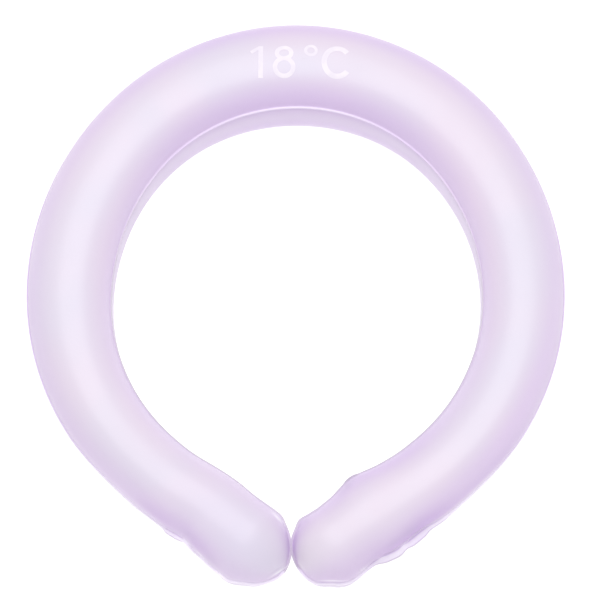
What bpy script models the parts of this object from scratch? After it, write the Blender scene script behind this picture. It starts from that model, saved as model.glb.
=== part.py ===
"""Neck cooling tube: a C-shaped tube of two welded films with a phase-change filling inside.

The tube lies flat on z = 0. The nape is at +Y, the two free ends meet at -Y, and the width runs along X.
Sizes are in metres. Angles round a section start at the outer side of the ring and pass over the top.
"""
import math

import bmesh
import bpy
import numpy as np

MM = 0.001

# Centre line of the tube, seen from above
LINE_HALF_WIDTH = 71.2 * MM
LINE_BACK_REACH = 77.4 * MM
LINE_FRONT_REACH = 73.4 * MM
LINE_SHIFT = (0.2 * MM, -1.2 * MM)
FLARE_START = math.radians(150)
FLARE_LEFT = 57.0 * MM
FLARE_RIGHT = 45.0 * MM
LEFT_END = math.radians(168.9)
RIGHT_END = math.radians(170.6)
HALF_LENGTH = 219.0 * MM
TURN_STEP = 0.001

# Section of the tube
TUBE_WIDTH = 27.0 * MM
TUBE_DEPTH = 27.0 * MM
SQUARENESS = 2.3
CAP_SQUARENESS_LEFT = 1.85
CAP_SQUARENESS_RIGHT = 2.4
CAP_LENGTH = 14.0 * MM
REST_STRIP = math.radians(6)
STRIP_RISE = math.cos(REST_STRIP) ** (2 / SQUARENESS)

# Films, welded edge and filling
FILM = 0.6 * MM
LIP = 1.0 * MM
LIP_THICKNESS = 0.4 * MM
WELD_GAP = 0.3 * MM
FILLING_GAP = 0.3 * MM

# How finely the pieces are divided
OVER_POINTS = 9
UNDER_OUTSIDE_POINTS = 5
UNDER_INSIDE_POINTS = 6
CAP_SPANS = 6
ZONE_SPANS = ((-1.0, 14), (-0.84, 8), (-0.66, 32), (0.66, 8), (0.84, 14), (1.0, 0))

# Half widths are shares of TUBE_WIDTH / 2, half depths of TUBE_DEPTH / 2, lips of LIP, and seams are in degrees
SECTION_COLUMNS = ("along", "inner", "outer", "depth", "inner_seam", "outer_seam", "inner_lip", "outer_lip")
SECTIONS = (
    (-1.00, 0.95, 0.94, 0.94, 8, 8, 0.7, 0.7),
    (-0.97, 0.96, 0.92, 0.95, 8, 6, 0.5, 0.6),
    (-0.95, 0.995, 0.885, 0.95, 9, 5, 0.4, 0.7),
    (-0.935, 1.00, 0.79, 0.95, 10, 4, 0.4, 0.8),
    (-0.89, 0.985, 0.825, 0.95, 12, 4, 0.4, 0.6),
    (-0.83, 1.00, 0.72, 0.95, 14, 4, 0.4, 0.4),
    (-0.72, 0.995, 0.805, 0.96, 16, 4, 0.4, 0.4),
    (-0.45, 1.02, 1.045, 1.00, 20, 4, 0.4, 0.4),
    (-0.22, 1.045, 1.18, 1.05, 25, 2, 0.6, 0.4),
    (0.00, 1.14, 1.225, 1.10, 28, 0, 0.6, 0.4),
    (0.22, 1.03, 1.18, 1.05, 25, 2, 0.6, 0.4),
    (0.45, 0.98, 1.005, 1.00, 20, 4, 0.4, 0.4),
    (0.72, 1.02, 0.785, 0.96, 16, 4, 0.4, 0.4),
    (0.83, 1.035, 0.735, 0.95, 14, 4, 0.4, 0.5),
    (0.90, 1.025, 0.85, 0.95, 12, 4, 0.4, 1.6),
    (0.945, 1.095, 0.885, 0.95, 10, 5, 0.4, 1.5),
    (0.98, 0.94, 0.875, 0.95, 8, 6, 0.6, 1.2),
    (1.00, 0.89, 0.92, 0.94, 8, 8, 0.7, 0.7),
)

# Soft dents near the ends: where along the tube, at what angle round it, how deep, how long and how wide
DENT_COLUMNS = ("along", "angle", "deep", "long", "wide")
DENTS = (
    (-0.88, -10, 1.2 * MM, 6 * MM, 22),
    (-0.96, -12, 1.5 * MM, 5 * MM, 20),
    (0.90, 2, 1.4 * MM, 7 * MM, 24),
    (0.97, -4, 1.6 * MM, 8 * MM, 20),
)

# Tabs of the welded edge near the ends: where, on which side, how far out and up, and how long
TAB_COLUMNS = ("along", "side", "push", "lift", "long")
TABS = (
    (-0.915, 1, 0.8 * MM, 0.4 * MM, 3.5 * MM),
    (0.910, 1, 1.0 * MM, 0.5 * MM, 4.0 * MM),
    (0.953, 1, 1.1 * MM, -0.4 * MM, 4.2 * MM),
)


def rows(columns, table):
    """Gives each row of a table as a dictionary by column name."""
    return [dict(zip(columns, row)) for row in table]


def share(name, along):
    """Reads one column of SECTIONS at any place along the tube, as a smooth curve through its rows."""
    table = np.array(SECTIONS, float)
    places = table[:, 0]
    values = table[:, SECTION_COLUMNS.index(name)]
    slopes = np.gradient(values, places)
    left = np.clip(np.searchsorted(places, along, side="right") - 1, 0, len(places) - 2)
    step = places[left + 1] - places[left]
    t = (along - places[left]) / step
    start = (2 * t**3 - 3 * t**2 + 1) * values[left] + (t**3 - 2 * t**2 + t) * step * slopes[left]
    end = (3 * t**2 - 2 * t**3) * values[left + 1] + (t**3 - t**2) * step * slopes[left + 1]
    return start + end


def line_point(turn):
    """Gives the centre line at an angle from the nape: an oval whose arms leave it near the ends."""
    reach = np.where(np.cos(turn) > 0, LINE_BACK_REACH, LINE_FRONT_REACH)
    oval = 1 / np.hypot(np.sin(turn) / LINE_HALF_WIDTH, np.cos(turn) / reach)
    past = np.maximum(0, np.abs(turn) - FLARE_START)
    radius = oval + np.where(turn > 0, FLARE_RIGHT, FLARE_LEFT) * past**2
    return np.stack([radius * np.sin(turn), radius * np.cos(turn)], -1) + LINE_SHIFT


def rounded(value, squareness):
    """Raises a sine or cosine to the power that squares up a circle, and keeps its sign."""
    return np.sign(value) * np.abs(value) ** (2 / squareness)


class Tube:
    """The tube's stations from the left tip to the right tip, with the sizes of each."""

    def __init__(self):
        along = [np.linspace(start, stop, spans, endpoint=False)
                 for (start, spans), (stop, _) in zip(ZONE_SPANS, ZONE_SPANS[1:])]
        along = np.concatenate(along + [[1.0]])
        cap = np.linspace(0, math.pi / 2, CAP_SPANS + 1)[1:]
        self.along = np.concatenate([np.full(CAP_SPANS, -1.0), along, np.full(CAP_SPANS, 1.0)])
        bend = np.concatenate([-cap[::-1], np.zeros(len(along)), cap])
        cap_squareness = np.where(bend > 0, CAP_SQUARENESS_RIGHT, CAP_SQUARENESS_LEFT)
        self.slim = rounded(np.cos(bend), cap_squareness)
        self.forward = rounded(np.sin(bend), cap_squareness)
        turn = self.along * np.where(self.along > 0, RIGHT_END, LEFT_END)
        self.centre = line_point(turn)
        ahead = line_point(turn + TURN_STEP) - line_point(turn - TURN_STEP)
        self.ahead = ahead / np.linalg.norm(ahead, axis=1)[:, None]
        self.outward = np.stack([-self.ahead[:, 1], self.ahead[:, 0]], -1)
        self.inner = share("inner", self.along) * TUBE_WIDTH / 2
        self.outer = share("outer", self.along) * TUBE_WIDTH / 2
        self.depth = share("depth", self.along) * TUBE_DEPTH / 2
        self.seams = {-1: math.pi - np.radians(share("inner_seam", self.along)),
                      1: np.radians(share("outer_seam", self.along))}

    def rise(self, angle):
        """Gives the section's height at an angle as a share of its half depth, and no lower than the strip."""
        return np.maximum(rounded(np.sin(angle), SQUARENESS) / STRIP_RISE, -1)

    def dented(self, angle):
        """Gives how far the dents press the skin in, as a soft bump for each row of DENTS."""
        pressed = np.zeros(len(self.along))
        for dent in rows(DENT_COLUMNS, DENTS):
            away = (self.along - dent["along"]) * HALF_LENGTH / dent["long"]
            turned = angle - math.radians(dent["angle"])
            around = np.arctan2(np.sin(turned), np.cos(turned)) / math.radians(dent["wide"])
            pressed = pressed + dent["deep"] * np.exp(-away**2 - around**2)
        return pressed

    def placed(self, sideways, forward, height):
        """Turns distances from the centre line into points, one for each station."""
        flat = self.centre + self.outward * sideways[:, None] + self.ahead * forward[:, None]
        return np.concatenate([flat, (self.depth + height)[:, None]], axis=1)

    def skin(self, angle, inset, floor=None, roof=None):
        """Gives the skin at an angle round the section, moved in by inset and kept above or below a height.

        The section is a squared-up ellipse with its own half width on each side, cut flat at the lowest strip.
        """
        pressed = self.dented(angle) + inset
        across = rounded(np.cos(angle), SQUARENESS)
        half = np.where(across > 0, self.outer, self.inner)
        sideways = (half - pressed) * across * self.slim
        height = (self.depth - pressed) * self.rise(angle) * self.slim
        if floor is not None:
            height = np.maximum(height, floor)
        if roof is not None:
            height = np.minimum(height, roof)
        forward = (CAP_LENGTH - inset) * self.forward
        return self.placed(sideways, forward, height)

    def seam_height(self, side):
        """Gives the weld's height above the centre line on one side of the tube."""
        return self.depth * self.rise(self.seams[side]) * self.slim

    def lip(self, side, layer):
        """Gives the outer edge of the weld's lip, where layer is its height above the weld's mid plane."""
        length = share("outer_lip" if side > 0 else "inner_lip", self.along) * LIP
        lift = np.zeros(len(self.along))
        for tab in rows(TAB_COLUMNS, TABS):
            away = (self.along - tab["along"]) * HALF_LENGTH
            swell = np.exp(-(away / tab["long"]) ** 4) * (tab["side"] == side)
            length = length + tab["push"] * swell
            lift = lift + tab["lift"] * swell
        half = self.outer if side > 0 else self.inner
        across = rounded(np.cos(self.seams[side]), SQUARENESS)
        sideways = ((half - self.dented(self.seams[side])) * across + side * length) * self.slim
        forward = (CAP_LENGTH + length) * self.forward
        return self.placed(sideways, forward, self.seam_height(side) + layer + lift)


def film_angles(tube, over):
    """Gives the angles of a film's points at each station, from the outer weld to the inner weld.

    The upper film runs over the top, and the lower film runs under the tube with two points on the flat strip.
    """
    outer_weld = tube.seams[1]
    if over:
        return list(np.linspace(outer_weld, tube.seams[-1], OVER_POINTS))
    strip_outside = -math.pi / 2 + REST_STRIP
    strip_inside = -math.pi / 2 - REST_STRIP
    inner_weld = tube.seams[-1] - 2 * math.pi
    outside = np.linspace(outer_weld, strip_outside, UNDER_OUTSIDE_POINTS)
    inside = np.linspace(strip_inside, inner_weld, UNDER_INSIDE_POINTS)
    return list(outside) + list(inside)


def film_rings(tube, over):
    """Gives the closed outline of one film at each station: outer skin, lip, inner skin and lip."""
    way = 1 if over else -1
    near_face = way * WELD_GAP / 2
    far_face = way * (WELD_GAP / 2 + LIP_THICKNESS)
    outer_skin = []
    inner_skin = []
    for angle in film_angles(tube, over):
        side = 1 if np.cos(angle).mean() > 0 else -1
        seam = tube.seam_height(side)
        limit = "floor" if over else "roof"
        outer_skin.append(tube.skin(angle, 0, **{limit: seam + far_face}))
        inner_skin.append(tube.skin(angle, FILM, **{limit: seam + near_face}))
    inner_lip = [tube.lip(-1, far_face), tube.lip(-1, near_face)]
    outer_lip = [tube.lip(1, near_face), tube.lip(1, far_face)]
    return np.stack(outer_skin + inner_lip + inner_skin[::-1] + outer_lip, axis=1)


def filling_rings(tube):
    """Gives the outline of the filling at each station: the films' own angles, a small gap inside them."""
    angles = film_angles(tube, over=True) + film_angles(tube, over=False)[-2:0:-1]
    return np.stack([tube.skin(angle, FILM + FILLING_GAP) for angle in angles], axis=1)


def material(name, colour, roughness):
    """Makes a plain Principled material."""
    made = bpy.data.materials.new(name)
    made.use_nodes = True
    shader = made.node_tree.nodes["Principled BSDF"]
    shader.inputs["Base Color"].default_value = (*colour, 1)
    shader.inputs["Roughness"].default_value = roughness
    made.diffuse_color = (*colour, 1)
    return made


def loft(name, rings, look):
    """Joins closed rings of points into one body that ends in a point or an edge at each tip."""
    points = rings.shape[1]
    body = bmesh.new()
    corners = [[body.verts.new(point) for point in ring] for ring in rings]
    for here, there in zip(corners, corners[1:]):
        for i in range(points):
            body.faces.new((here[i], here[(i + 1) % points], there[(i + 1) % points], there[i]))
    bmesh.ops.remove_doubles(body, verts=body.verts, dist=0.001 * MM)
    bmesh.ops.dissolve_degenerate(body, edges=body.edges, dist=0.001 * MM)
    bmesh.ops.recalc_face_normals(body, faces=body.faces)
    mesh = bpy.data.meshes.new(name)
    body.to_mesh(mesh)
    body.free()
    mesh.shade_smooth()
    mesh.set_sharp_from_angle(angle=math.radians(40))
    mesh.materials.append(look)
    made = bpy.data.objects.new(name, mesh)
    bpy.context.collection.objects.link(made)
    return made


for old in list(bpy.data.objects):
    bpy.data.objects.remove(old)

film_look = material("film", (0.78, 0.68, 0.87), 0.3)
filling_look = material("filling", (0.86, 0.80, 0.92), 0.6)

cooling_tube = Tube()

# Upper film: the printed side, from the inner weld over the top to the outer weld
loft("upper_film", film_rings(cooling_tube, over=True), film_look)

# Lower film: the side that rests on the shoulders, with a flat strip under the whole ring
loft("lower_film", film_rings(cooling_tube, over=False), film_look)

# Filling: the phase-change wax that the two films hold
loft("pcm_filling", filling_rings(cooling_tube), filling_look)
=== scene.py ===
"""Neck cooling tube, dressed for its picture: films, filling, printed figure, camera, floor and light."""
import math

import bmesh
import bpy
import numpy as np
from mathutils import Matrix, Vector


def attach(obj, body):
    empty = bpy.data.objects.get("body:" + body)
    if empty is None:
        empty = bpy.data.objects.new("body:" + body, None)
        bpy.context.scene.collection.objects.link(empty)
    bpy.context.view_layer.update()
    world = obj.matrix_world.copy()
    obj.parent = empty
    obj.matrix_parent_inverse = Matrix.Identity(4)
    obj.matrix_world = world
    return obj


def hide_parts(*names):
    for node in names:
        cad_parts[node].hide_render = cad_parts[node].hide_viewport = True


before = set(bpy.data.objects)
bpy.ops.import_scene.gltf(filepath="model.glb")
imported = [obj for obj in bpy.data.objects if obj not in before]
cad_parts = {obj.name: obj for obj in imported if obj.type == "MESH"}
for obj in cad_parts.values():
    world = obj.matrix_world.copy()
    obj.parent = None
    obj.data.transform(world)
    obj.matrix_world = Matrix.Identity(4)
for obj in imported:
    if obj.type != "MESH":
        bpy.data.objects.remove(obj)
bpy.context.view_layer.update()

MM = 0.001

# Camera
# A long lens looks down on the tube from the free ends' side, 20 degrees off straight down.
# The aim lies a little in front of the ring's middle, so that the ring sits in the frame as it should.
VIEW_TILT = math.radians(20)
VIEW_DISTANCE = 900 * MM
AIM = Vector((0.2 * MM, -1.6 * MM, 12.8 * MM))
FRAME_HEIGHT = 192.3 * MM
SENSOR_HEIGHT = 24.0

camera = bpy.data.objects.new("camera", bpy.data.cameras.new("camera"))
camera.data.sensor_fit = "VERTICAL"
camera.data.sensor_height = SENSOR_HEIGHT
camera.data.lens = SENSOR_HEIGHT * VIEW_DISTANCE / FRAME_HEIGHT
camera.data.clip_start = 10 * MM
camera.location = AIM + VIEW_DISTANCE * Vector((0, -math.sin(VIEW_TILT), math.cos(VIEW_TILT)))
camera.rotation_euler = (VIEW_TILT, 0, 0)
bpy.context.collection.objects.link(camera)
bpy.context.scene.camera = camera

# Upper film
# The printed half of the tube: thin lilac TPU film, formed over the filling and welded along its rim.
# Its section is a squared-up ellipse carried along the centre line, and its rim is a narrow flat lip.
LINE_HALF_WIDTH = 71.2 * MM
LINE_BACK_REACH = 77.4 * MM
LINE_FRONT_REACH = 73.4 * MM
LINE_SHIFT = (0.2 * MM, -1.2 * MM)
FLARE_START = math.radians(150)
FLARE_LEFT = 57.0 * MM
FLARE_RIGHT = 45.0 * MM
LEFT_END = math.radians(168.9)
RIGHT_END = math.radians(170.6)
HALF_LENGTH = 219.0 * MM
TURN_STEP = 0.001

TUBE_WIDTH = 27.0 * MM
TUBE_DEPTH = 27.0 * MM
SQUARENESS = 2.3
CAP_SQUARENESS_LEFT = 1.85
CAP_SQUARENESS_RIGHT = 2.4
CAP_LENGTH = 14.0 * MM
REST_STRIP = math.radians(6)
STRIP_RISE = math.cos(REST_STRIP) ** (2 / SQUARENESS)

FILM = 0.6 * MM
LIP = 1.0 * MM
LIP_THICKNESS = 0.3 * MM
WELD_GAP = 0.1 * MM
# How wide, in degrees, the painted light on the skin next to the outer weld is.
NEAR_WELD = 6

STATIONS = 640
CAP_STATIONS = 36
SKIN_POINTS = 56
BACK_POINTS = 18
LIP_POINTS = 7
MERGE_DISTANCE = 0.0005 * MM
SHARP_ANGLE = math.radians(50)

# Sections along the tube: inner and outer half widths are shares of TUBE_WIDTH / 2, and depths of
# TUBE_DEPTH / 2. Seams are in degrees, and lips are shares of LIP.
SECTION_COLUMNS = ("along", "inner", "outer", "depth", "inner_seam", "outer_seam", "inner_lip", "outer_lip")
SECTIONS = (
    (-1.00, 0.95, 0.94, 0.94, 8, 8, 0.7, 0.7),
    (-0.97, 0.96, 0.92, 0.95, 8, 6, 0.5, 0.6),
    (-0.95, 0.995, 0.885, 0.95, 9, 5, 0.4, 0.7),
    (-0.935, 1.00, 0.79, 0.95, 10, 4, 0.4, 0.8),
    (-0.89, 0.985, 0.825, 0.95, 12, 4, 0.4, 0.6),
    (-0.83, 1.00, 0.72, 0.95, 14, 4, 0.4, 0.4),
    (-0.72, 0.995, 0.805, 0.96, 16, 4, 0.4, 0.4),
    (-0.45, 1.02, 1.045, 1.00, 20, 4, 0.4, 0.4),
    (-0.22, 1.045, 1.18, 1.05, 25, 2, 0.6, 0.4),
    (0.00, 1.14, 1.225, 1.10, 28, 0, 0.6, 0.4),
    (0.22, 1.03, 1.18, 1.05, 25, 2, 0.6, 0.4),
    (0.45, 0.98, 1.005, 1.00, 20, 4, 0.4, 0.4),
    (0.72, 1.02, 0.785, 0.96, 16, 4, 0.4, 0.4),
    (0.83, 1.035, 0.735, 0.95, 14, 4, 0.4, 0.5),
    (0.90, 1.025, 0.85, 0.95, 12, 4, 0.4, 1.6),
    (0.945, 1.095, 0.885, 0.95, 10, 5, 0.4, 1.5),
    (0.98, 0.94, 0.875, 0.95, 8, 6, 0.6, 1.2),
    (1.00, 0.89, 0.92, 0.94, 8, 8, 0.7, 0.7),
)

# Dents: where along the tube, at what angle round it, how deep, how long and how wide
DENT_COLUMNS = ("along", "angle", "deep", "long", "wide")
DENTS = (
    (-0.88, -10, 1.2 * MM, 6 * MM, 22),
    (-0.96, -12, 1.5 * MM, 5 * MM, 20),
    (0.90, 2, 1.4 * MM, 7 * MM, 24),
    (0.97, -4, 1.6 * MM, 8 * MM, 20),
)

# Tabs of the welded edge near the ends: where, on which side, how far out and up, and how long
TAB_COLUMNS = ("along", "side", "push", "lift", "long")
TABS = (
    (-0.915, 1, 0.8 * MM, 0.4 * MM, 3.5 * MM),
    (0.910, 1, 1.0 * MM, 0.5 * MM, 4.0 * MM),
    (0.953, 1, 1.1 * MM, -0.4 * MM, 4.2 * MM),
    (0.942, -1, 0.3 * MM, 0.2 * MM, 2.2 * MM),
)

# Deep and lilac patches are painted shade on shaded flanks and dents, pink ones painted light, blue ones
# bluer.
# Soft patches: tone, where along the tube, at what angle round it, how long, how wide and how much
PATCH_COLUMNS = ("tone", "along", "angle", "long", "wide", "amount")
PATCHES = (
    ("deep", 0.00, 142, 66 * MM, 22, 0.36),
    ("deep", 0.00, 43, 72 * MM, 18, 0.50),
    ("deep", -0.08, 2, 78 * MM, 13, 0.60),
    ("deep", 0.00, 187, 90 * MM, 12, 0.40),
    ("deep", 0.895, 26, 9 * MM, 22, 0.75),
    ("deep", 0.95, 20, 9 * MM, 18, 0.60),
    ("deep", 0.80, 20, 22 * MM, 18, 0.45),
    ("deep", 0.65, 14, 30 * MM, 16, 0.18),
    ("deep", 0.93, 150, 28 * MM, 24, 0.40),
    ("deep", 0.85, 140, 14 * MM, 22, 0.15),
    ("deep", 0.99, 40, 10 * MM, 30, 0.20),
    ("deep", -0.70, 26, 30 * MM, 18, 0.10),
    ("deep", -0.885, 28, 8 * MM, 20, 0.45),
    ("deep", -0.955, 30, 7 * MM, 18, 0.50),
    ("deep", -0.99, 80, 26 * MM, 50, 0.10),
    ("lilac", 0.74, 45, 48 * MM, 26, 0.70),
    ("lilac", 0.00, 142, 70 * MM, 26, 0.50),
    ("lilac", -0.90, 36, 26 * MM, 26, 0.35),
    ("pink", 0.86, 28, 60 * MM, 22, 0.20),
    ("pink", 0.90, 95, 34 * MM, 40, 0.60),
    ("pink", 0.45, 130, 40 * MM, 20, 0.50),
    ("pink", -0.45, 130, 40 * MM, 18, 0.50),
    ("pink", -0.80, 120, 34 * MM, 26, 0.50),
    ("pink", 0.12, 70, 22 * MM, 22, 0.40),
    ("blue", -0.99, 80, 26 * MM, 50, 0.70),
    ("blue", -0.42, 95, 60 * MM, 28, 0.60),
    ("blue", 0.60, 95, 50 * MM, 24, 0.50),
    ("blue", 0.00, 98, 18 * MM, 16, 0.50),
)

# Paint on the welded edge along the tube: -1 is grey painted shade, 1 is its pale film with a painted
# highlight
WELD_COLUMNS = ("along", "inner", "outer")
WELDS = (
    (-1.00, -0.7, 0.8),
    (-0.90, -1.0, 1.0),
    (-0.75, -1.0, 0.5),
    (-0.50, -0.8, 0.0),
    (-0.25, -0.1, -0.7),
    (0.00, 0.55, -0.8),
    (0.25, -0.1, -0.6),
    (0.50, -0.8, 0.0),
    (0.75, -1.0, 0.7),
    (0.90, -1.0, 1.0),
    (1.00, -0.7, 0.8),
)

# Corners of the free ends, where the weld lets the outline out or, below 0, pulls it in:
# which end, at what angle, how far and how wide
CORNER_COLUMNS = ("end", "angle", "push", "wide")
CORNERS = (
    (1, 45, -0.9 * MM, 12),
    (1, 74, 0.5 * MM, 9),
    (1, -63, 0.8 * MM, 9),
    (-1, 56, -0.4 * MM, 9),
    (-1, 78, 0.3 * MM, 8),
    (-1, -74, 0.4 * MM, 8),
)

# Streaks on the free ends: painted highlights where light is above 0, painted crease shade where it is below
# 0.
# Their places are seen along a slanted line, so that they stay narrow on the steep flanks.
STREAK_COLUMNS = ("x", "y", "turn", "long", "wide", "light")
STREAKS = (
    (-5.4 * MM, -70.9 * MM, -49, 2.3 * MM, 0.35 * MM, 0.60),
    (-5.2 * MM, -88.1 * MM, 33, 2.8 * MM, 0.30 * MM, 0.60),
    (-5.9 * MM, -87.4 * MM, 33, 2.6 * MM, 0.30 * MM, -0.25),
    (-34.4 * MM, -78.2 * MM, -24, 2.2 * MM, 0.40 * MM, 0.40),
    (-28.8 * MM, -82.9 * MM, -51, 2.6 * MM, 0.35 * MM, 0.35),
    (-23.1 * MM, -88.9 * MM, -37, 1.8 * MM, 0.35 * MM, 0.60),
    (11.0 * MM, -90.7 * MM, 0, 3.4 * MM, 0.28 * MM, 0.60),
    (11.0 * MM, -91.4 * MM, 0, 3.4 * MM, 0.25 * MM, -0.20),
    (26.2 * MM, -83.7 * MM, 20, 1.4 * MM, 0.35 * MM, 0.60),
    (32.8 * MM, -79.9 * MM, 43, 1.4 * MM, 0.35 * MM, 0.50),
    (19.6 * MM, -87.8 * MM, 125, 0.9 * MM, 0.18 * MM, -0.40),
    (20.4 * MM, -87.2 * MM, 125, 0.9 * MM, 0.18 * MM, -0.40),
    (21.2 * MM, -86.6 * MM, 125, 0.9 * MM, 0.18 * MM, -0.40),
    (20.4 * MM, -87.2 * MM, 37, 1.6 * MM, 0.60 * MM, 0.30),
    (15.8 * MM, -60.5 * MM, 49, 2.8 * MM, 0.90 * MM, -0.30),
    (3.0 * MM, -70.8 * MM, 37, 1.8 * MM, 0.70 * MM, -0.15),
    (34.1 * MM, -75.3 * MM, 37, 3.4 * MM, 1.40 * MM, -0.28),
    (29.2 * MM, -78.9 * MM, 52, 2.2 * MM, 1.10 * MM, -0.20),
    (22.5 * MM, -84.6 * MM, 40, 3.8 * MM, 1.10 * MM, -0.22),
    (-33.0 * MM, -75.8 * MM, -30, 3.0 * MM, 1.30 * MM, -0.18),
    (-25.5 * MM, -84.3 * MM, -46, 3.0 * MM, 1.40 * MM, -0.18),
)
STREAK_FLOOR = 11 * MM
STREAK_LEVEL = 14 * MM
STREAK_SLANT = math.tan(math.radians(20))


def rows(columns, table):
    """Gives each row of a table as a dictionary by column name."""
    return [dict(zip(columns, row)) for row in table]


def share(name, along, columns=SECTION_COLUMNS, table=SECTIONS):
    """Reads one column of a table at any place along the tube, as a smooth curve through its rows."""
    table = np.array(table, float)
    places = table[:, 0]
    values = table[:, columns.index(name)]
    slopes = np.gradient(values, places)
    left = np.clip(np.searchsorted(places, along, side="right") - 1, 0, len(places) - 2)
    step = places[left + 1] - places[left]
    t = (along - places[left]) / step
    start = (2 * t**3 - 3 * t**2 + 1) * values[left] + (t**3 - 2 * t**2 + t) * step * slopes[left]
    end = (3 * t**2 - 2 * t**3) * values[left + 1] + (t**3 - t**2) * step * slopes[left + 1]
    return start + end


def line_point(turn):
    """Gives the centre line at an angle from the nape: an oval whose arms leave it near the ends."""
    reach = np.where(np.cos(turn) > 0, LINE_BACK_REACH, LINE_FRONT_REACH)
    oval = 1 / np.hypot(np.sin(turn) / LINE_HALF_WIDTH, np.cos(turn) / reach)
    past = np.maximum(0, np.abs(turn) - FLARE_START)
    radius = oval + np.where(turn > 0, FLARE_RIGHT, FLARE_LEFT) * past**2
    return np.stack([radius * np.sin(turn), radius * np.cos(turn)], -1) + LINE_SHIFT


def rounded(value, squareness):
    """Raises a sine or cosine to the power that squares up a circle, and keeps its sign."""
    return np.sign(value) * np.abs(value) ** (2 / squareness)


class Tube:
    """The tube's stations from the left tip to the right tip, as columns that points round the tube join."""

    def __init__(self, stations, cap_stations):
        along = np.linspace(-1, 1, stations)
        cap = np.linspace(0, math.pi / 2, cap_stations + 1)[1:]
        along = np.concatenate([np.full(cap_stations, -1.0), along, np.full(cap_stations, 1.0)])
        bend = np.concatenate([-cap[::-1], np.zeros(stations), cap])
        self.along = along[:, None]
        cap_squareness = np.where(bend > 0, CAP_SQUARENESS_RIGHT, CAP_SQUARENESS_LEFT)
        self.slim = rounded(np.cos(bend), cap_squareness)[:, None]
        self.forward = rounded(np.sin(bend), cap_squareness)[:, None]
        self.end = np.sign(self.forward)
        turn = along * np.where(along > 0, RIGHT_END, LEFT_END)
        self.centre = line_point(turn)[:, None]
        ahead = line_point(turn + TURN_STEP) - line_point(turn - TURN_STEP)
        ahead = ahead / np.linalg.norm(ahead, axis=1)[:, None]
        self.ahead = ahead[:, None]
        self.outward = np.stack([-ahead[:, 1], ahead[:, 0]], -1)[:, None]
        self.inner = share("inner", self.along) * TUBE_WIDTH / 2
        self.outer = share("outer", self.along) * TUBE_WIDTH / 2
        self.depth = share("depth", self.along) * TUBE_DEPTH / 2
        self.seams = {-1: math.pi - np.radians(share("inner_seam", self.along)),
                      1: np.radians(share("outer_seam", self.along))}

    def rise(self, angle):
        """Gives the section's height at an angle as a share of its half depth, no lower than the strip."""
        return np.maximum(rounded(np.sin(angle), SQUARENESS) / STRIP_RISE, -1)

    def dented(self, angle):
        """Gives how far the dents press the skin in, as a soft bump for each row of DENTS."""
        pressed = np.zeros(np.broadcast(self.along, angle).shape)
        for dent in rows(DENT_COLUMNS, DENTS):
            away = (self.along - dent["along"]) * HALF_LENGTH
            turned = angle - math.radians(dent["angle"])
            around = np.arctan2(np.sin(turned), np.cos(turned)) / math.radians(dent["wide"])
            pressed = pressed + dent["deep"] * np.exp(-(away / dent["long"]) ** 2 - around**2)
        return pressed

    def patched(self, angle, tone):
        """Gives how strong one tone of the patches is, as a soft bump for each row of PATCHES."""
        amount = np.zeros(np.broadcast(self.along, angle).shape)
        for patch in rows(PATCH_COLUMNS, PATCHES):
            away = (self.along - patch["along"]) * HALF_LENGTH / patch["long"]
            around = np.degrees(angle) - patch["angle"]
            around = ((around + 180) % 360 - 180) / patch["wide"]
            amount = amount + patch["amount"] * (patch["tone"] == tone) * np.exp(-away**2 - around**2)
        return amount

    def cornered(self, sideways, forward):
        """Gives how far out the free ends' corners lie, as soft bumps by the angle from straight ahead."""
        turned = np.degrees(np.arctan2(sideways, np.abs(forward)))
        out = np.zeros(turned.shape)
        for corner in rows(CORNER_COLUMNS, CORNERS):
            bump = np.exp(-((turned - corner["angle"]) / corner["wide"]) ** 2)
            out = out + corner["push"] * bump * (self.end == corner["end"])
        return out

    def placed(self, sideways, forward, height):
        """Turns distances from the centre line into points, on a grid of stations and angles."""
        reach = np.hypot(sideways, forward)
        grown = 1 + self.cornered(sideways, forward) * (reach / CAP_LENGTH) ** 3 / np.maximum(reach, MM)
        sideways = sideways * grown
        forward = forward * grown
        flat = self.centre + self.outward * sideways[..., None] + self.ahead * forward[..., None]
        return np.concatenate([flat, (self.depth + height)[..., None]], axis=-1)

    def skin(self, angle, inset, side_limit):
        """Gives the skin at angles round the section, moved in by inset.

        side_limit is how far above (or, if negative, below) the weld's mid plane the skin has to stay.
        """
        pressed = self.dented(angle) + inset
        across = rounded(np.cos(angle), SQUARENESS)
        half = np.where(across > 0, self.outer, self.inner)
        sideways = (half - pressed) * across * self.slim
        height = (self.depth - pressed) * self.rise(angle) * self.slim
        weld = np.where(across > 0, self.seam_height(1), self.seam_height(-1)) + side_limit
        height = np.maximum(height, weld) if side_limit > 0 else np.minimum(height, weld)
        forward = (CAP_LENGTH - inset) * self.forward
        return self.placed(sideways, forward + 0 * sideways, height)

    def seam_height(self, side):
        """Gives the weld's height above the centre line on one side of the tube."""
        return self.depth * self.rise(self.seams[side]) * self.slim

    def tabbed(self, side, column):
        """Gives how far the weld's tabs reach out or lift, as a flat-topped bump for each tab."""
        total = np.zeros_like(self.along)
        for tab in rows(TAB_COLUMNS, TABS):
            away = (self.along - tab["along"]) * HALF_LENGTH / tab["long"]
            total = total + tab[column] * np.exp(-away**4) * (tab["side"] == side)
        return total

    def lip_length(self, side):
        """Gives the length of the weld's lip, with its tabs."""
        return share("outer_lip" if side > 0 else "inner_lip", self.along) * LIP + self.tabbed(side, "push")

    def lip(self, side, layer, reach):
        """Gives the weld's lip from its root to its edge, where reach is the share of its length."""
        length = self.lip_length(side)
        lift = self.tabbed(side, "lift")
        half = self.outer if side > 0 else self.inner
        across = rounded(np.cos(self.seams[side]), SQUARENESS)
        root = (half - self.dented(self.seams[side])) * across
        sideways = (root + side * length * reach) * self.slim
        forward = (CAP_LENGTH + length * reach) * self.forward
        return self.placed(sideways, forward, self.seam_height(side) + layer + lift * reach**2)


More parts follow.
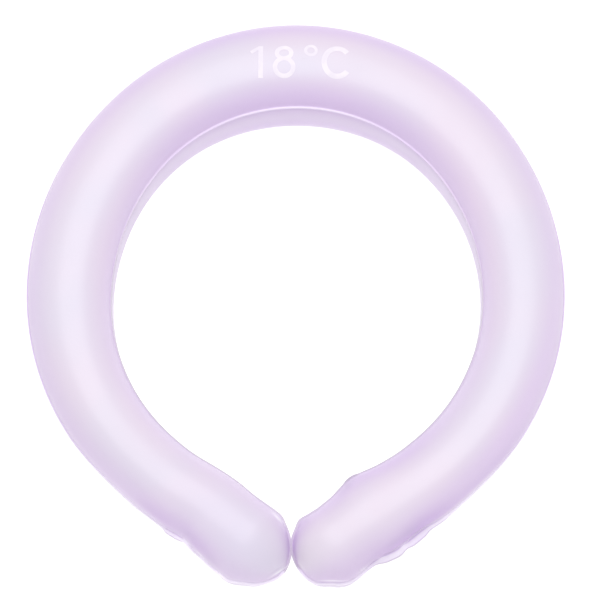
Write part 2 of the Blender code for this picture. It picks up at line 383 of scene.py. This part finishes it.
def film_angles(tube, over, points):
    """Gives a film's angles at each station from the outer to the inner weld, over or under the tube."""
    if over:
        return tube.seams[1] + (tube.seams[-1] - tube.seams[1]) * np.linspace(0, 1, points)
    strip_outside = -math.pi / 2 + REST_STRIP
    strip_inside = -math.pi / 2 - REST_STRIP
    inner_weld = tube.seams[-1] - 2 * math.pi
    shares = np.linspace(0, 1, points // 2)
    outside = tube.seams[1] + (strip_outside - tube.seams[1]) * shares
    inside = strip_inside + (inner_weld - strip_inside) * shares
    return np.concatenate([outside, inside], axis=1)


def film_rings(tube, over):
    """Gives the closed outline of one film at each station, and its marks for the material.

    The outline runs over the outer skin, out along the inner lip and back, along the inner skin, and round
    the outer lip. The marks are:
    side, the cosine from 0 on the crest to 1 at the widest place, which sets the painted shade of the
    flanks;
    deep and lilac, the strength of the painted shade patches, pink of the painted light ones, and blue of
    the bluer ones;
    lip, from 0 at the lip's root to 1 at its edge, and wide, its reach in shares of LIP;
    white and dull, from the WELDS table: the weld's pale film with a painted highlight, and its painted
    shade;
    near, a soft bump of painted light on the skin next to the outer weld.
    """
    way = 1 if over else -1
    near_face = way * WELD_GAP / 2
    far_face = way * (WELD_GAP / 2 + LIP_THICKNESS)
    outside = film_angles(tube, over, SKIN_POINTS)
    inside = film_angles(tube, over, BACK_POINTS)[:, ::-1]
    reach = np.linspace(0, 1, LIP_POINTS)[1:]
    inner = (tube.lip_length(-1) / LIP, share("inner", tube.along, WELD_COLUMNS, WELDS))
    outer = (tube.lip_length(1) / LIP, share("outer", tube.along, WELD_COLUMNS, WELDS))
    parts = [
        (tube.skin(outside, 0, far_face), outside, 0, 0, 0),
        (tube.lip(-1, far_face, reach), tube.seams[-1], reach, *inner),
        (tube.lip(-1, near_face, reach[::-1]), tube.seams[-1], reach[::-1], *inner),
        (tube.skin(inside, FILM, near_face), inside, 0, 0, 0),
        (tube.lip(1, near_face, reach), tube.seams[1], reach, *outer),
        (tube.lip(1, far_face, reach[::-1]), tube.seams[1], reach[::-1], *outer),
    ]
    rings = np.concatenate([part[0] for part in parts], axis=1)
    grids = [[np.broadcast_to(mark, part[0].shape[:2]) for mark in part[1:]] for part in parts]
    angles, lip, wide, tint = [np.concatenate(column, axis=1) for column in zip(*grids)]
    marks = {tone: tube.patched(angles, tone) for tone in ("deep", "lilac", "pink", "blue")}
    marks.update(side=np.abs(np.cos(angles)), lip=lip, wide=wide)
    # The weld's pale film with a painted highlight, and its painted shade, from the WELDS table.
    marks.update(white=np.clip(tint, 0, 1), dull=np.clip(-tint, 0, 1))
    # Painted light on the skin just above the outer weld, lifting the shade of the crease there.
    near = np.exp(-(np.degrees(angles - tube.seams[1]) / NEAR_WELD) ** 2)
    marks["near"] = near * np.clip(outer[1], 0, 1) * (lip == 0)
    return rings, marks


def loft(name, rings, marks, ends_closed=True):
    """Joins rings of points into one body, with its marks as attributes and its ends capped or merged."""
    stations, around = rings.shape[:2]
    row = np.arange(stations - 1)[:, None] * around
    here = row + np.arange(around)
    beside = row + np.roll(np.arange(around), -1)
    faces = np.stack([here, beside, beside + around, here + around], axis=-1).reshape(-1, 4)
    mesh = bpy.data.meshes.new(name)
    mesh.from_pydata(rings.reshape(-1, 3), [], faces.tolist())
    for label, values in marks.items():
        attribute = mesh.attributes.new(label, "FLOAT", "POINT")
        attribute.data.foreach_set("value", values.ravel().astype(np.float32))
    body = bmesh.new()
    body.from_mesh(mesh)
    if not ends_closed:
        body.verts.ensure_lookup_table()
        for first in (0, (stations - 1) * around):
            body.faces.new([body.verts[first + i] for i in range(around)])
    bmesh.ops.remove_doubles(body, verts=body.verts, dist=MERGE_DISTANCE)
    bmesh.ops.recalc_face_normals(body, faces=body.faces)
    body.to_mesh(mesh)
    body.free()
    mesh.shade_smooth()
    mesh.set_sharp_from_angle(angle=SHARP_ANGLE)
    piece = bpy.data.objects.new(name, mesh)
    bpy.context.collection.objects.link(piece)
    return piece


class Value:
    """One number in a material's nodes, so that shader maths reads as Python sums."""

    def __init__(self, recipe, socket):
        self.recipe = recipe
        self.socket = socket

    def sum_with(self, operation, *others, clamp=False):
        """Adds one Math node that works on this value and the others."""
        settings = {"operation": operation, "use_clamp": clamp}
        return self.recipe.node("ShaderNodeMath", settings, dict(enumerate([self, *others])))

    def __add__(self, other):
        return self.sum_with("ADD", other)

    def __sub__(self, other):
        return self.sum_with("SUBTRACT", other)

    def __rsub__(self, other):
        return self.recipe.node("ShaderNodeMath", {"operation": "SUBTRACT"}, {0: other, 1: self})

    def __mul__(self, other):
        return self.sum_with("MULTIPLY", other)

    def __pow__(self, other):
        return self.sum_with("POWER", other)

    def held(self):
        """Keeps the value between 0 and 1."""
        return self.sum_with("ADD", 0.0, clamp=True)

    __radd__ = __add__
    __rmul__ = __mul__


class Recipe:
    """A material made of nodes round one Principled shader."""

    def __init__(self, name, **shader_values):
        self.material = bpy.data.materials.new(name)
        self.material.use_nodes = True
        self.tree = self.material.node_tree
        self.shader = self.tree.nodes["Principled BSDF"]
        self.set(**shader_values)

    def fill(self, node, values):
        """Sets or links a node's sockets by name or number."""
        for key, value in values.items():
            socket = node.inputs[key]
            if isinstance(value, Value):
                self.tree.links.new(value.socket, socket)
            else:
                socket.default_value = value

    def node(self, kind, settings=None, values=None, output=0):
        """Adds a node of one kind, sets its settings first, then its sockets, and gives one output."""
        made = self.tree.nodes.new(kind)
        for setting, value in (settings or {}).items():
            setattr(made, setting, value)
        self.fill(made, values or {})
        return Value(self, made.outputs[output])

    def mark(self, name):
        """Reads one of the piece's own attributes."""
        return self.node("ShaderNodeAttribute", {"attribute_name": name}, output="Fac")

    def place(self):
        """Gives the object coordinates as three values."""
        coordinates = self.node("ShaderNodeTexCoord", output="Object")
        return [self.node("ShaderNodeSeparateXYZ", {}, {0: coordinates}, output=axis) for axis in range(3)]

    def noise(self, size, detail=2.0):
        """Gives soft noise in object coordinates, with patches of about one size in metres."""
        place = self.node("ShaderNodeTexCoord", output="Object")
        values = {"Vector": place, "Scale": 1 / size, "Detail": detail}
        return self.node("ShaderNodeTexNoise", {"noise_dimensions": "3D"}, values, output="Fac")

    def blend(self, amount, first, second):
        """Mixes two colours by an amount."""
        colours = [value if isinstance(value, Value) else (*value, 1) for value in (first, second)]
        settings = {"data_type": "RGBA", "clamp_factor": True}
        return self.node("ShaderNodeMix", settings, {0: amount, 6: colours[0], 7: colours[1]}, output=2)

    def ramp(self, value, low, high):
        """Turns low to high into 0 to 1 with soft ends."""
        settings = {"interpolation_type": "SMOOTHSTEP", "clamp": True}
        return self.node("ShaderNodeMapRange", settings, {0: value, 1: low, 2: high, 3: 0.0, 4: 1.0})

    def streak(self, place, streak):
        """Gives a soft streak seen from above: 1 in its middle, fading past its length and width."""
        turn = math.radians(streak["turn"])
        x = place[0] - streak["x"]
        y = place[1] + (place[2] - STREAK_LEVEL) * STREAK_SLANT - streak["y"]
        along = (x * math.cos(turn) + y * math.sin(turn)) * (1 / streak["long"])
        across = (y * math.cos(turn) - x * math.sin(turn)) * (1 / streak["wide"])
        return (0 - along * along - across * across).sum_with("EXPONENT")

    def bump(self, height, distance, strength):
        """Feeds a height in shares of a distance in metres into the shader's normal."""
        values = {"Height": height, "Distance": distance, "Strength": strength}
        self.set(Normal=self.node("ShaderNodeBump", {}, values))

    def set(self, **values):
        """Links or sets the shader's own sockets."""
        self.fill(self.shader, {name.replace("_", " "): value for name, value in values.items()})


CREST_PINK = (0.835, 0.735, 0.86)
CREST_BLUE = (0.80, 0.735, 0.86)
# Painted shade: the flanks are painted a darker, richer lilac than the crest.
FLANK_SHADE_LILAC = (0.79, 0.65, 0.895)
# Painted shade colour of the deep patches.
DEEP_SHADE_LILAC = (0.64, 0.455, 0.80)
# Painted light: the pink patches are painted paler and pinker where the film is lit.
PINK_PAINTED_LIGHT = (0.89, 0.755, 0.875)
PATCH_BLUE = (0.79, 0.765, 0.90)
# Painted shade tint of the lilac patches.
LILAC_SHADE_TINT = (0.82, 0.66, 0.93)
# The weld's pale film with a painted highlight, and the grey of its rim: partly its edge, partly painted
# shade.
WELD_PALE_HIGHLIGHT = (0.86, 0.81, 0.91)
LIP_EDGE_AND_SHADE_GREY = (0.60, 0.55, 0.63)
# Painted glow: the emission strength of the painted pale welds and glints, which are no lamp.
PAINTED_GLOW_STRENGTH = 0.16
# Painted glints and painted crease shade for the streaks.
PAINTED_GLINT_WHITE = (0.97, 0.95, 1.0)
CREASE_SHADE_GREY = (0.55, 0.46, 0.66)
FILM_INDEX = 1.45
CLOUD_SIZE = 34 * MM
VEIL_SIZE = 16 * MM
RIPPLE_SIZE = 7 * MM
RIPPLE_HEIGHT = 0.25 * MM
GRAIN_SIZE = 1.2 * MM
GRAIN_SHARE = 0.35

tube = Tube(STATIONS, CAP_STATIONS)


def film_material(name, pink, blue, flank_shade):
    """Makes satin, milky film: pale and faintly clouded, with painted shade and light, and pale welds with
    painted highlights.
    """
    film = Recipe(name, Coat_Weight=0.25, Coat_Roughness=0.3, IOR=FILM_INDEX, Emission_Strength=PAINTED_GLOW_STRENGTH)
    clouds = film.ramp(film.noise(CLOUD_SIZE, detail=1.0), 0.36, 0.64)
    veil = film.ramp(film.noise(VEIL_SIZE), 0.30, 0.75)
    pale = film.blend(clouds, pink, blue)
    # Painted shade: the colour turns darker lilac towards the flanks, by the side mark.
    colour = film.blend(film.mark("side") ** 2.0 * (0.85 + 0.15 * veil), pale, flank_shade)
    # Painted light in the pink patches; the blue patches shift the colour towards blue.
    colour = film.blend(film.mark("pink").held() * (0.6 + 0.4 * veil), colour, PINK_PAINTED_LIGHT)
    colour = film.blend(film.mark("blue").held() * (0.6 + 0.4 * veil), colour, PATCH_BLUE)
    # Painted shade: lilac patches tint and deep patches darken the flanks and dents that lie in shade.
    colour = film.blend(film.mark("lilac").held(), colour, LILAC_SHADE_TINT)
    colour = film.blend(film.mark("deep").held(), colour, DEEP_SHADE_LILAC)
    lip = film.mark("lip")
    broad = film.ramp(film.mark("wide"), 0.8, 1.3)
    weld = film.ramp(lip, 0.10 * broad, 0.15 + 0.25 * broad)
    rim = film.ramp(lip, 0.85, 0.97) * broad
    # Painted highlight on the welds and painted light next to the outer weld; grey painted shade on welds
    # and rims.
    pale_weld_and_highlight = weld * film.mark("white") * (1 - 0.7 * rim) + 0.75 * film.mark("near")
    colour = film.blend(pale_weld_and_highlight.held(), colour, WELD_PALE_HIGHLIGHT)
    colour = film.blend((weld * film.mark("dull") + 0.6 * rim).held(), colour, LIP_EDGE_AND_SHADE_GREY)
    place = film.place()
    above = film.ramp(place[2], STREAK_FLOOR, STREAK_FLOOR + MM)
    painted_glints = 0.0
    painted_crease_shade = 0.0
    # Painted glints and painted crease shade from the STREAKS table.
    for row in rows(STREAK_COLUMNS, STREAKS):
        streak = film.streak(place, row) * above
        painted_glints = streak * max(row["light"], 0.0) + painted_glints
        painted_crease_shade = streak * max(-row["light"], 0.0) + painted_crease_shade
    colour = film.blend(painted_crease_shade.held(), colour, CREASE_SHADE_GREY)
    colour = film.blend(painted_glints.held(), colour, PAINTED_GLINT_WHITE)
    grain = film.noise(GRAIN_SIZE, detail=3.0) * GRAIN_SHARE + film.noise(RIPPLE_SIZE)
    # The painted highlights on the welds and glints also glow by emission, though they are no lamp.
    film.set(Base_Color=colour, Emission_Color=film.blend((pale_weld_and_highlight + painted_glints).held(), (0, 0, 0), WELD_PALE_HIGHLIGHT))
    film.set(Roughness=0.38 + 0.10 * veil)
    film.bump(grain + painted_glints - painted_crease_shade, RIPPLE_HEIGHT, 0.25)
    return film.material


rings, marks = film_rings(tube, over=True)
upper_film = loft("upper_film_skin", rings, marks)
upper_film.data.materials.append(film_material("upper_film_satin", CREST_PINK, CREST_BLUE, FLANK_SHADE_LILAC))
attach(upper_film, "root")
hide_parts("upper_film")

# Printed figure
# A plain temperature, screen-printed in pale ink across the top of the nape: flat strokes of even width.
# Each stroke is a path seen from above, laid on the film and sunk a little way into it.
# Where two strokes cross, one stands a little higher than the other.
INK_RISE = 0.04 * MM
CROSSING_RISE = 0.07 * MM
INK_SINK = 0.10 * MM
INK_POINTS = 7
ARC_POINTS = 72
INK_WHITE = (0.97, 0.90, 0.98)
INK_THIN = (0.90, 0.83, 0.94)
INK_CLOUD_SIZE = 5 * MM
INK_GRAIN_SIZE = 0.6 * MM
INK_GRAIN_HEIGHT = 0.03 * MM

PRINT_REACH = 0.15
PRINT_STATIONS = 1201
PRINT_FOOT = 70.2 * MM
PRINT_HEAD = 79.8 * MM
STEM_PLACE = -11.2 * MM
STEM_OVERRUN = 0.7 * MM
EIGHT_PLACE = -3.75 * MM
WAIST = 76.0 * MM


def arc(centre, radii, start, stop):
    """Gives points on an ellipse from one angle to another in degrees, seen from above."""
    angle = np.radians(np.linspace(start, stop, ARC_POINTS))
    return np.stack([centre[0] + radii[0] * np.cos(angle), centre[1] + radii[1] * np.sin(angle)], -1)


def film_height(points):
    """Gives the upper film's height at points seen from above, from its nearest place on the centre line."""
    along = np.linspace(-PRINT_REACH, PRINT_REACH, PRINT_STATIONS)
    turn = along * np.where(along > 0, RIGHT_END, LEFT_END)
    line = line_point(turn)
    away = points[..., None, :] - line
    nearest = np.argmin((away**2).sum(-1), axis=-1)
    along = along[nearest]
    beyond = np.sign(np.hypot(*np.moveaxis(points, -1, 0)) - np.hypot(*np.moveaxis(line[nearest], -1, 0)))
    side = np.linalg.norm(points - line[nearest], axis=-1) * beyond
    half = np.where(side > 0, share("outer", along), share("inner", along)) * TUBE_WIDTH / 2
    depth = share("depth", along) * TUBE_DEPTH / 2
    return depth * (1 + (1 - np.abs(side / half) ** SQUARENESS) ** (1 / SQUARENESS) / STRIP_RISE)


def stroke(name, path, width, closed, rise):
    """Lays one flat stroke of ink along a path, from a little below the film to a little above it."""
    along = np.gradient(path, axis=0)
    if closed:
        along[[0, -1]] = path[1] - path[-2]
    along = along / np.linalg.norm(along, axis=1)[:, None]
    across = np.stack([-along[:, 1], along[:, 0]], -1)[:, None]
    flat = path[:, None] + across * np.linspace(-0.5, 0.5, INK_POINTS)[:, None] * width
    height = film_height(flat)[..., None]
    top = np.concatenate([flat, height + rise], axis=-1)
    bottom = np.concatenate([flat, height - INK_SINK], axis=-1)
    return loft(name, np.concatenate([top, bottom[:, ::-1]], axis=1), {}, ends_closed=closed)


ink = Recipe("pale_ink", Roughness=0.5)
ink_wear = ink.ramp(ink.noise(INK_CLOUD_SIZE), 0.35, 0.65)
ink.set(Base_Color=ink.blend(ink_wear, INK_WHITE, INK_THIN))
ink.bump(ink.noise(INK_GRAIN_SIZE), INK_GRAIN_HEIGHT, 0.5)

# Strokes: name, path, width, whether the path closes on itself, and how far the ink stands above the film
stem = np.linspace((STEM_PLACE, PRINT_HEAD + STEM_OVERRUN), (STEM_PLACE, PRINT_FOOT - STEM_OVERRUN), 60)
flag = np.linspace((-14.3 * MM, 78.2 * MM), (-11.6 * MM, 80.0 * MM), 20)
upper_bowl = arc((EIGHT_PLACE, (PRINT_HEAD + WAIST) / 2), (2.3 * MM, (PRINT_HEAD - WAIST) / 2), 0, 360)
lower_bowl = arc((EIGHT_PLACE, (PRINT_FOOT + WAIST) / 2), (2.9 * MM, (WAIST - PRINT_FOOT) / 2), 0, 360)
degree_ring = arc((4.8 * MM, 78.8 * MM), (1.7 * MM, 1.6 * MM), 0, 360)
letter_bow = arc((13.2 * MM, 74.8 * MM), (4.2 * MM, 4.8 * MM), 42, 318)
STROKES = (
    ("figure_one_stem", stem, 1.5 * MM, False, INK_RISE),
    ("figure_one_flag", flag, 1.1 * MM, False, CROSSING_RISE),
    ("figure_eight_upper", upper_bowl, 1.35 * MM, True, CROSSING_RISE),
    ("figure_eight_lower", lower_bowl, 1.4 * MM, True, INK_RISE),
    ("degree_ring", degree_ring, 0.95 * MM, True, INK_RISE),
    ("letter_bow", letter_bow, 1.7 * MM, False, INK_RISE),
)
for name, path, width, closed, rise in STROKES:
    printed = stroke(name, path, width, closed, rise)
    printed.data.materials.append(ink.material)
    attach(printed, "root")

# Lower film
# The half that rests on the shoulders: the same film, welded under the upper film's lip.
# It shows as a band under the weld on the neck side, and is flat along a narrow strip where it rests.
UNDER_PINK = (0.84, 0.75, 0.90)
UNDER_BLUE = (0.82, 0.75, 0.91)
# Painted shade: the lower film's flanks are painted a darker lilac.
UNDER_FLANK_SHADE = (0.81, 0.72, 0.88)

rings, marks = film_rings(tube, over=False)
lower_film = loft("lower_film_skin", rings, marks)
lower_film.data.materials.append(film_material("lower_film_satin", UNDER_PINK, UNDER_BLUE, UNDER_FLANK_SHADE))
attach(lower_film, "root")
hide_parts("lower_film")

# Filling
# The phase-change wax inside the films: cloudy, slightly grainy where it has set.
# Its solid keeps its own shape, so only its material is made here.
WAX_LILAC = (0.86, 0.80, 0.92)
WAX_WHITE = (0.93, 0.90, 0.96)
WAX_CLOUD_SIZE = 9 * MM
WAX_GRAIN_SIZE = 1.5 * MM
WAX_GRAIN_HEIGHT = 0.2 * MM

wax = Recipe("set_wax", Roughness=0.55)
wax_cloud = wax.ramp(wax.noise(WAX_CLOUD_SIZE, detail=4.0), 0.3, 0.7)
wax.set(Base_Color=wax.blend(wax_cloud, WAX_LILAC, WAX_WHITE))
wax.bump(wax.noise(WAX_GRAIN_SIZE, detail=3.0), WAX_GRAIN_HEIGHT, 0.4)
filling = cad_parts["pcm_filling"]
for place in filling.material_slots:
    place.material = wax.material

# Floor and light
# A white sheet under the tube, a wide soft lamp above the nape side, a weaker one in front, and a pale room.
FLOOR_SIZE = 6.0
FLOOR_GREY = (0.20, 0.20, 0.20)
FLOOR_GLOW = 0.95
ROOM_LIGHT = 0.58

floor_mesh = bpy.data.meshes.new("floor")
half = FLOOR_SIZE / 2
corners = [(-half, -half, 0), (half, -half, 0), (half, half, 0), (-half, half, 0)]
floor_mesh.from_pydata(corners, [], [range(4)])
floor = bpy.data.objects.new("floor", floor_mesh)
bpy.context.collection.objects.link(floor)
paper = Recipe("white_sheet", Roughness=0.9, Emission_Strength=FLOOR_GLOW)
paper.set(Base_Color=(*FLOOR_GREY, 1), Emission_Color=(1, 1, 1, 1))
floor_mesh.materials.append(paper.material)

# Lamps: name, where it stands, its width and its power
LAMP_COLUMNS = ("name", "place", "width", "power")
LAMPS = (
    ("soft_top", (0.0, 0.36, 1.28), 1.1, 8.4),
    ("fill_front", (0.0, -1.2, 0.7), 1.2, 1.6),
)
for lamp in rows(LAMP_COLUMNS, LAMPS):
    light = bpy.data.lights.new(lamp["name"], "AREA")
    light.shape = "DISK"
    light.size = lamp["width"]
    light.energy = lamp["power"]
    holder = bpy.data.objects.new(lamp["name"], light)
    holder.location = lamp["place"]
    holder.rotation_euler = (-Vector(lamp["place"])).to_track_quat("-Z", "Y").to_euler()
    bpy.context.collection.objects.link(holder)

room = bpy.data.worlds.new("room")
room.use_nodes = True
room.node_tree.nodes["Background"].inputs["Color"].default_value = (1, 1, 1, 1)
room.node_tree.nodes["Background"].inputs["Strength"].default_value = ROOM_LIGHT
bpy.context.scene.world = room
bpy.context.scene.view_settings.view_transform = "Standard"
